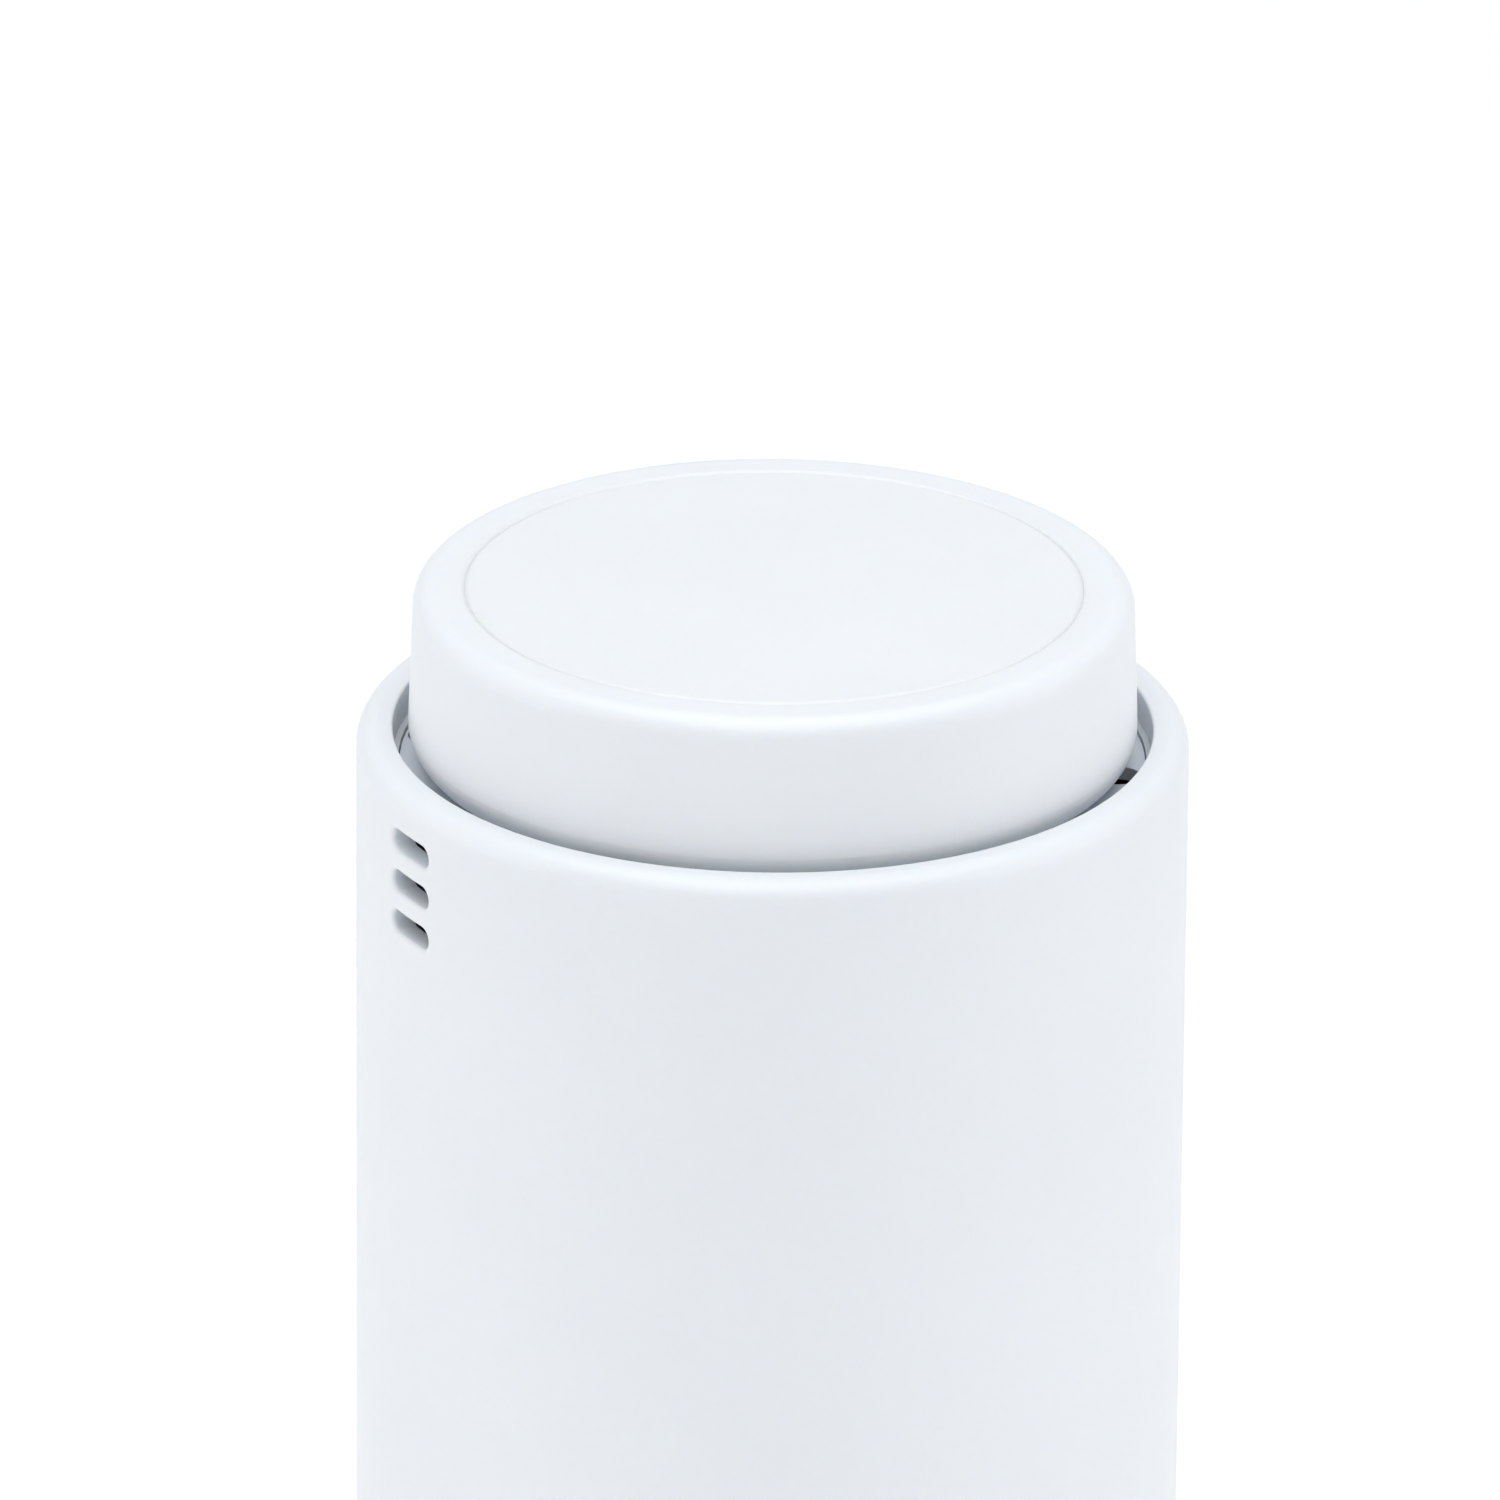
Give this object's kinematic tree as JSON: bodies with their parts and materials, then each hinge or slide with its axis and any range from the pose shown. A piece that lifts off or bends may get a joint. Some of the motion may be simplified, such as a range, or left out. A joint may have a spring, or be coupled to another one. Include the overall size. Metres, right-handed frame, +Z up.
{
  "type": "mesh wifi node",
  "caption": "Upright round wifi node: a straight sleeve with side vents, a raised cap over a vented ring gap, and a recessed socket panel low at the back.",
  "frame": {"origin": "centre of the resting face, on the bottom of the foot ring", "axes": "+Z up along the sleeve's axis, -Y to the front (status light), +Y to the back (sockets)"},
  "size_m": [0.0907, 0.0906, 0.19],
  "materials": {
    "antenna_metal": "stamped sheet",
    "base_white": "fine spark texture",
    "bezel_white": "fine spark texture",
    "black_plastic": "matt",
    "board_green": "solder mask",
    "button_white": "satin",
    "can_aluminium": "drawn can",
    "carrier_white": "matt",
    "chip_epoxy": "moulded epoxy",
    "clear_plastic": "diffusing clear polycarbonate",
    "deck_white": "matt moulded",
    "disc_white": "satin moulded",
    "gold_contact": "gold flashed",
    "label_film": "matt film, blank",
    "lead_grey": "fluoropolymer jacket",
    "led_epoxy": "clear epoxy over phosphor",
    "pad_grey": "soft silicone",
    "rubber_grey": "matt",
    "screw_steel": "zinc plated",
    "shell_white": "satin moulded, very fine",
    "sink_aluminium": "extruded, plain",
    "tinned_steel": "tinned sheet"
  },
  "bodies": {
    "housing": {"antenna_1": "antenna_metal", "antenna_2": "antenna_metal", "antenna_3": "antenna_metal", "antenna_4": "antenna_metal", "antenna_carrier": "carrier_white", "antenna_lead_1": "lead_grey", "antenna_lead_2": "lead_grey", "antenna_lead_3": "lead_grey", "antenna_lead_4": "lead_grey", "base_cover": "base_white", "base_screws": "screw_steel", "board_screws": "screw_steel", "board_socket": "black_plastic", "cap_base": "shell_white", "cap_screws": "screw_steel", "capacitors": "can_aluminium", "chassis": "black_plastic", "dc_jack_housing": "black_plastic", "dc_jack_pin": "gold_contact", "deck_screws": "screw_steel", "foot_ring": "rubber_grey", "heat_sink_front": "sink_aluminium", "heat_sink_rear": "sink_aluminium", "heat_sink_screws": "screw_steel", "high_band_radio_chip": "chip_epoxy", "high_band_shield_can": "tinned_steel", "io_board": "board_green", "io_board_screws": "screw_steel", "label_plate": "label_film", "lan_transformers": "black_plastic", "lead_plugs": "gold_contact", "light_pipe": "clear_plastic", "low_band_radio_chip": "chip_epoxy", "low_band_shield_can": "tinned_steel", "main_board": "board_green", "memory_chips": "chip_epoxy", "network_jack_contacts_1": "gold_contact", "network_jack_contacts_2": "gold_contact", "network_jack_housing_1": "black_plastic", "network_jack_housing_2": "black_plastic", "network_jack_shield_1": "tinned_steel", "network_jack_shield_2": "tinned_steel", "network_switch_chip": "chip_epoxy", "outer_shell": "shell_white", "pair_switch_body": "black_plastic", "port_bezel": "bezel_white", "processor_chip": "chip_epoxy", "processor_shield_can": "tinned_steel", "reset_switch_body": "black_plastic", "status_led": "led_epoxy", "switch_shield_can": "tinned_steel", "thermal_pads": "pad_grey", "top_cap": "shell_white", "top_disc": "disc_white", "vent_deck": "deck_white"},
    "pair_key": {"pair_button": "button_white", "pair_switch_plunger": "black_plastic"},
    "reset_pin": {"reset_button": "button_white", "reset_switch_plunger": "black_plastic"}
  },
  "joints": [
    {"name": "pair_press", "type": "slide", "parent": "housing", "child": "pair_key", "axis": [0, -1, 0], "range_m": [0, 0.0004], "stiffness_N_per_m": 3000},
    {"name": "reset_press", "type": "slide", "parent": "housing", "child": "reset_pin", "axis": [0, 0, 1], "range_m": [0, 0.0004], "stiffness_N_per_m": 3000}
  ]
}
